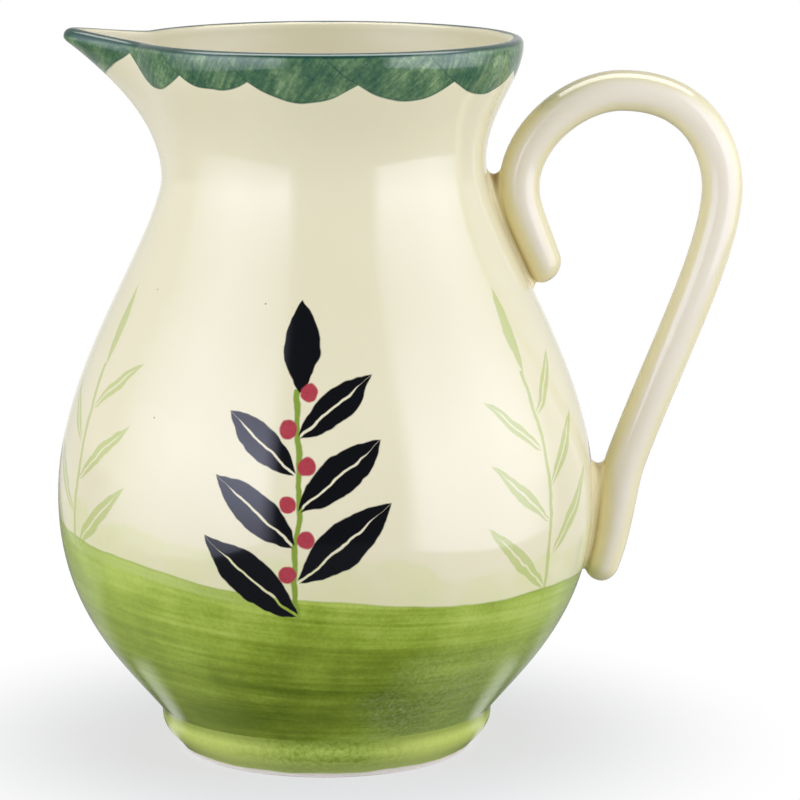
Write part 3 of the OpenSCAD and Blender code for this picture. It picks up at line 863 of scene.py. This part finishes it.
# %% [markdown]
# ## Specks and the glassy skin
# Iron in the clay burns through the glaze as sparse dark specks, half a millimetre wide. The glaze
# itself is glass: an index of refraction of about 1.56 and little roughness. It is never quite
# level, so a faint long swell and a finer orange-peel grain bend its reflections.

# %% Specks, gloss and swell
SPECK_APART_MM, SPECK_MM, SPECK_CHANCE = 11, 0.3, 0.55
specks = add("TexVoronoi", {"Vector": place_mm, "Scale": 1 / SPECK_APART_MM})
speck_far, speck_near = SPECK_MM / SPECK_APART_MM, 0.6 * SPECK_MM / SPECK_APART_MM
speck = add("MapRange", [specks.outputs["Distance"], speck_far, speck_near, 0, 0.8])
speck_chance = add("SeparateColor", [specks.outputs["Color"]])
speck_some = add("Math", [speck_chance, SPECK_CHANCE], "GREATER_THAN")
speck = add("Math", [speck, speck_some], "MULTIPLY")
painted = add("MixRGB", [speck, painted, "4B4232"])

SWELL_DEEP_MM, PEEL_DEEP_MM = 0.08, 0.0008
INSIDE_GLOSS = (0.4, 0.4, 0.4, 1)
skin = add("Bump", {"Distance": SWELL_DEEP_MM * MM, "Height": noise["swells"]})
skin = add("Bump", {"Distance": PEEL_DEEP_MM * MM, "Height": noise["peel"], "Normal": skin})
gloss = add("MapRange", [noise["patches"], *NOISE_SPAN, 0.07, 0.13])
gloss = add("MixRGB", [inner_side, gloss, INSIDE_GLOSS])
end_glaze(add, glaze, painted, gloss, skin, [jug])

# %% [markdown]
# ## The foot's glaze
# The foot carries the same leaf green, thinner and yellower, because the brush only skims it. Its
# sides are painted lighter where the side light falls, which is painted light, and the groove at its
# top is painted darker as painted shade. Before firing, the potter wipes the edge that it stands on,
# or it would stick to the kiln shelf, so the glaze thins out there and a pale line of bare, matt clay
# shows below it. The paler green just above that line is the thinned glaze and also painted light
# bounced up from the table.

# %% Foot glaze
BRUSH_MM, GRIT_MM, GRIT_DEEP_MM, WIPE_MM = (40, 40, 2.4), 1.3, 0.006, 14
foot_glaze, add, place_mm, (x_mm, y_mm, height) = start_glaze("Leaf_green_glaze_wiped_to_bare_clay")
flat = add("CombineXYZ", [x_mm, y_mm])
radius = add("VectorMath", [flat], "LENGTH").outputs["Value"]
stretched = add("VectorMath", [place_mm, BRUSH_MM], "DIVIDE")
brush = add("TexNoise", {"Vector": stretched, "Scale": 1, "Detail": 4})
grit = add("TexNoise", {"Vector": place_mm, "Scale": 1 / GRIT_MM, "Detail": 4, "Roughness": 0.7})
load = add("MapRange", [brush, *NOISE_SPAN, 0, 0.6])
sponge = add("MapRange", [grit, *NOISE_SPAN, -0.25, 0.75])
load = add("Math", [load, sponge], "ADD")
green = add("MixRGB", [load, "7A9024", "B2C45A"])
# Both sides of the foot are painted lighter where the side light falls: painted light.
painted_side_light = add("Math", [x_mm], "ABSOLUTE")
painted_side_light = add("MapRange", [painted_side_light, 8, 28, 0, 0.72])
# Darker in the groove where the foot meets the belly: painted shade.
groove_painted_shade = add("MapRange", [height, 9, 11.2, 0, 0.35])
# Paler towards the wiped edge: thinned glaze, and also painted light bounced up from the table.
thinned_glaze_and_bounce_light = add("MapRange", [height, 1.5, 6.5, 0.55, 0])
for mask, code in ((painted_side_light, "D2DD72"), (groove_painted_shade, "5F7616"), (thinned_glaze_and_bounce_light, "D0DE84")):
    green = add("MixRGB", [mask, green, code])
wiped = add("TexNoise", {"Vector": place_mm, "Scale": 1 / WIPE_MM, "Detail": 2})
wiped = add("MapRange", [wiped, *NOISE_SPAN, 1.2, 1.9])
bare = add("Math", [wiped, height], "SUBTRACT")
bare = add("MapRange", [bare, -0.15, 0.25])
within = add("MapRange", [radius, 39.6, 40.4, 1, 0])
bare = add("Math", [bare, within], "MAXIMUM")
clay = add("MixRGB", [grit, "FFF8E4", "F2E8D2"])
shown = add("MixRGB", [bare, green, clay])
matt = add("MapRange", [bare, 0, 1, 0.12, 0.75])
skin = add("Bump", {"Distance": GRIT_DEEP_MM * MM, "Height": grit})
end_glaze(add, foot_glaze, shown, matt, skin, [foot])

# %% [markdown]
# ## The cream of the handle and of the slip
# The rod has the plain cream glaze. Glaze runs off a round rod, so it is thin and whiter on the brow of
# the rod, and that whiter band on its front and back is also a painted highlight. The glaze gathers in
# the crevices, where it is thick and turns straw yellow to gold, and the dark gold deepest in the
# crevices is also painted shade. How close a place is to the wall of the pot says how much has
# gathered there, so each point of the rod is measured against the wall and carries that as an
# attribute. The slip got its own when it was shaped.

# %% Measure where glaze gathers
GATHER_MM = 6.5
pool = handle.data.attributes.new("pooled", "FLOAT", "POINT")
for vertex in handle.data.vertices:
    x, y, z = vertex.co / MM
    from_wall = math.hypot(x, y) - wall_r(z)
    pool.data[vertex.index].value = max(0, min(1, 1 - from_wall / GATHER_MM))
pooled_share = sum(p.value > 0.5 for p in pool.data) / len(pool.data)
print("share of the rod with pooled glaze:", round(pooled_share, 3))

# %% Cream glaze with pools
ROD_PATCH_MM, ROD_SWELL_MM, ROD_SWELL_DEEP_MM = 26, 14, 0.12
rod_glaze, add, place_mm, (_, y_mm, _) = start_glaze("Cream_earthenware_glaze_pooled_to_straw")
patches = add("TexNoise", {"Vector": place_mm, "Scale": 1 / ROD_PATCH_MM, "Detail": 3})
cream = add("MixRGB", [patches, "E8E0B2", "DED4A0"])
# A whiter band on the rod's front and back: thin glaze on the brow, and also a painted highlight.
thin_brow_and_highlight = add("Math", [y_mm], "ABSOLUTE")
thin_brow_and_highlight = add("MapRange", [thin_brow_and_highlight, 3.8, 5.5, 0, 0.7], **SOFT)
pooled = add("Attribute", attribute_name="pooled").outputs["Fac"]
run_off = add("MapRange", [pooled, 0, 0.22, 1, 0])
thin_brow_and_highlight = add("Math", [thin_brow_and_highlight, run_off], "MULTIPLY")
straw = add("MapRange", [pooled, 0.1, 0.6, 0, 0.8], **SOFT)
# The dark gold deepest in the crevices is thick glaze and also painted shade.
gold_and_painted_shade = add("MapRange", [pooled, 0.55, 0.98, 0, 0.95], **SOFT)
specks = add("TexVoronoi", {"Vector": place_mm, "Scale": 1 / SPECK_APART_MM})
speck = add("MapRange", [specks.outputs["Distance"], speck_far, speck_near, 0, 0.8])
for mask, code in ((thin_brow_and_highlight, "E6DEC8"), (straw, "F2E2A2"), (gold_and_painted_shade, "94762A"), (speck, "5A4F3A")):
    cream = add("MixRGB", [mask, cream, code])
swells = add("TexNoise", {"Vector": place_mm, "Scale": 1 / ROD_SWELL_MM, "Detail": 1})
skin = add("Bump", {"Distance": ROD_SWELL_DEEP_MM * MM, "Height": swells})
gloss = add("MapRange", [pooled, 0.1, 0.5, 0.1, 0.3])
end_glaze(add, rod_glaze, cream, gloss, skin, [handle, upper_slip, lower_slip])

# %% [markdown]
# ## Joining the pieces to the measured part
# Each new piece stands for the measured solids under it and rides on the one body of the part. Nothing
# on a jug moves, so that body is the root.

# %% Ride and replace
for piece, nodes, slot in (
    (jug, ("body", "spout"), "body_glaze"),
    (foot, ("foot_ring",), "foot_glaze"),
    (handle, ("handle",), "handle_glaze"),
    (upper_slip, ("upper_handle_slip",), "slip_glaze"),
    (lower_slip, ("lower_handle_slip",), "slip_glaze"),
):
    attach(piece, "root")
    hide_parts(*nodes)
    print(piece.name, "stands for", ", ".join(nodes))

# %% [markdown]
# ## Floor, backdrop and light
# A glossy pot is lit with large soft sources, because it shows each lamp as a reflection. Two tall panels
# with soft edges stand left and right of the camera with a gap between them. They reach lower than
# the narrow pale table top, so their mirror images end low on the belly. A strip overhead draws the
# thin bright lines on the lip and the handle and lights nothing else. Weak lamps above, behind and
# over the mouth keep the other sides and the inside from going dark. The table keeps the pot's shadow
# close by, and farther out it is plain white for the camera, as the world is. In the glaze it mirrors
# a dark grey, which is painted shade, except for two patches beside the foot and a paler part far
# behind, which glow white in reflections only and are painted reflections.

# %% Floor
def ray_kinds(add):
    ray = add("LightPath").outputs
    seen = add("Math", [ray["Is Camera Ray"], ray["Is Transmission Ray"]], "MAXIMUM")
    return seen, ray["Is Glossy Ray"]


TABLE_WIDE, TABLE_LONG, TABLE_TOP, BELLY_SHADE_R = 0.41, 1.0, -0.05 * MM, 0.078
bpy.ops.mesh.primitive_plane_add(size=1, location=(0, 0, TABLE_TOP))
bpy.ops.transform.resize(value=(TABLE_WIDE, TABLE_LONG, 1))
bpy.ops.object.transform_apply()
floor = bpy.context.object
floor.name = "floor"
floor_white = bpy.data.materials.new("Matt_white_floor")
add = node_adder(floor_white)
place = add("TexCoord").outputs["Object"]
away = add("VectorMath", [place], "LENGTH").outputs["Value"]
far = add("MapRange", [away, 0.05, 0.14, 0.6, 1], **SOFT)
seen, glossy = ray_kinds(add)
far = add("Math", [far, seen], "MULTIPLY")
floor_x, floor_y, _ = add("SeparateXYZ", [place]).outputs
toward = add("Math", [floor_y, -1], "MULTIPLY")
turn = add("Math", [floor_x, toward], "ARCTAN2")
around = add("Math", [turn], "ABSOLUTE")
# Glowing patches beside the foot and behind, seen only in reflections: painted reflections of a lit table.
painted_glow = add("MapRange", [away, BELLY_SHADE_R - 0.006, BELLY_SHADE_R + 0.004, 0.75, 0])
glow_from = add("MapRange", [around, 1.3, 1.46])
glow_to = add("MapRange", [around, 1.6, 1.78, 1, 0.05])
for part in (glow_from, glow_to):
    painted_glow = add("Math", [painted_glow, part], "MULTIPLY")
behind = add("MapRange", [floor_y, 0.012, 0.04, 0, 0.38])
far_behind = add("MapRange", [floor_y, 0.06, 0.16, 0.38, 0.16])
behind = add("Math", [behind, far_behind], "MINIMUM")
painted_glow = add("Math", [painted_glow, behind], "MAXIMUM")
painted_glow = add("Math", [painted_glow, glossy], "MULTIPLY")
far = add("Math", [far, painted_glow], "MAXIMUM")
# In reflections the floor near the pot is shown dark grey: painted shade.
shade = add("MixRGB", [glossy, "C4C4C2", "5C5C5C"])
matt_white = add("BsdfDiffuse", [shade])
plain_white = add("Emission", ["FFFFFF"])
add("OutputMaterial", [add("MixShader", [far, matt_white, plain_white])])
floor.data.materials.append(floor_white)
print("floor ready")

# %% World
FILL_FRONT, FILL_BACK = 0.33, 0.44
GLOSS_FRONT, GLOSS_SIDE, GLOSS_BELOW = 0.05, 0.7, 0.65
world = bpy.data.worlds.new("white_studio")
bpy.context.scene.world = world
add = node_adder(world)
_, way_y, way_z = add("SeparateXYZ", [add("TexCoord").outputs["Generated"]]).outputs
fill = add("MapRange", [way_y, -0.3, 0.4, FILL_FRONT, FILL_BACK])
mirrored = add("MapRange", [way_y, -0.2, 0.3, GLOSS_FRONT, GLOSS_SIDE])
below = add("MapRange", [way_y, 0.45, 0.8, GLOSS_FRONT, GLOSS_BELOW])
horizon = add("MapRange", [way_z, -0.02, 0.02])
mirrored = add("MixRGB", [horizon, below, mirrored])
straight_behind = add("MapRange", [way_y, 0.93, 0.99])
mirrored = add("MixRGB", [straight_behind, mirrored, (1, 1, 1, 1)])
seen, glossy = ray_kinds(add)
level = add("MixRGB", [glossy, fill, mirrored])
level = add("MixRGB", [seen, level, (1, 1, 1, 1)])
add("OutputWorld", [add("Background", [level])])
print("fill levels:", FILL_FRONT, FILL_BACK)

# %% Soft panels
INNER_FADE, OUTER_FADE = 0.11, 0.45
PANEL_TOP, FULL_FROM, FADE_FROM, TOP_LEVEL = 1.15, 0.30, 0.34, 0.10
COOL_WHITE = (0.95, 0.97, 1.26, 1)


def add_panel(name, place, aim, width, tall, radiance):
    bpy.ops.object.light_add(type="AREA", location=place)
    panel = bpy.context.object
    panel.name = name
    panel.data.shape = "RECTANGLE"
    panel.data.size, panel.data.size_y = width, tall
    panel.data.energy = radiance * width * tall * math.pi
    panel.rotation_euler = (Vector(aim) - Vector(place)).to_track_quat("-Z", "Y").to_euler()
    return panel


# Name, place, aim, width, radiance, height and level of the foot, fade at the two sides
PANELS = (
    ("left_panel", (-0.724, -0.385), (0, 0), 1.48, 3.25, -0.18, 0.33, OUTER_FADE, INNER_FADE),
    ("right_panel", (0.817, -0.194), (-0.111, 0.18), 1.45, 3.15, -0.15, 0.70, INNER_FADE, OUTER_FADE),
)
for name, place, aim, width, radiance, foot_z, foot_level, fade_low, fade_high in PANELS:
    tall, middle = PANEL_TOP - foot_z, (PANEL_TOP + foot_z) / 2
    panel = add_panel(name, (*place, middle), (*aim, middle), width, tall, radiance)
    add = node_adder(panel.data)
    spot_x, spot_y, _ = add("SeparateXYZ", [add("NewGeometry").outputs["Parametric"]]).outputs
    side_low = add("MapRange", [spot_x, 0, fade_low])
    side_high = add("MapRange", [spot_x, 1, 1 - fade_high])
    low = add("MapRange", [spot_y, 0, (FULL_FROM - foot_z) / tall, foot_level, 1])
    top = add("MapRange", [spot_y, (FADE_FROM - foot_z) / tall, 1, 1, TOP_LEVEL])
    level = low
    for part in (top, side_low, side_high):
        level = add("Math", [level, part], "MULTIPLY")
    add("OutputLight", [add("Emission", [COOL_WHITE, level])])
add_panel("top_panel", (0.0, 0.1, 1.5), (0, 0, 0.1), width=1.2, tall=0.9, radiance=0.15)
strip = add_panel("top_strip", (0.0, 0.17, 1.2), (0, 0, 0.19), width=2.0, tall=0.6, radiance=6.0)
strip.visible_diffuse = False
back_fill = add_panel("back_fill", (0.0, 1.3, 0.6), (0, 0, 0.1), width=1.4, tall=1.0, radiance=0.5)
back_fill.visible_glossy = False
mouth_lamp = add_panel("mouth_lamp", (0.0, 0.0, 0.6), (0, 0, 0), width=0.06, tall=0.06, radiance=0.8)
mouth_lamp.data.spread = math.radians(6)
mouth_lamp.visible_glossy = False
scene = bpy.context.scene
scene.view_settings.view_transform = "Standard"
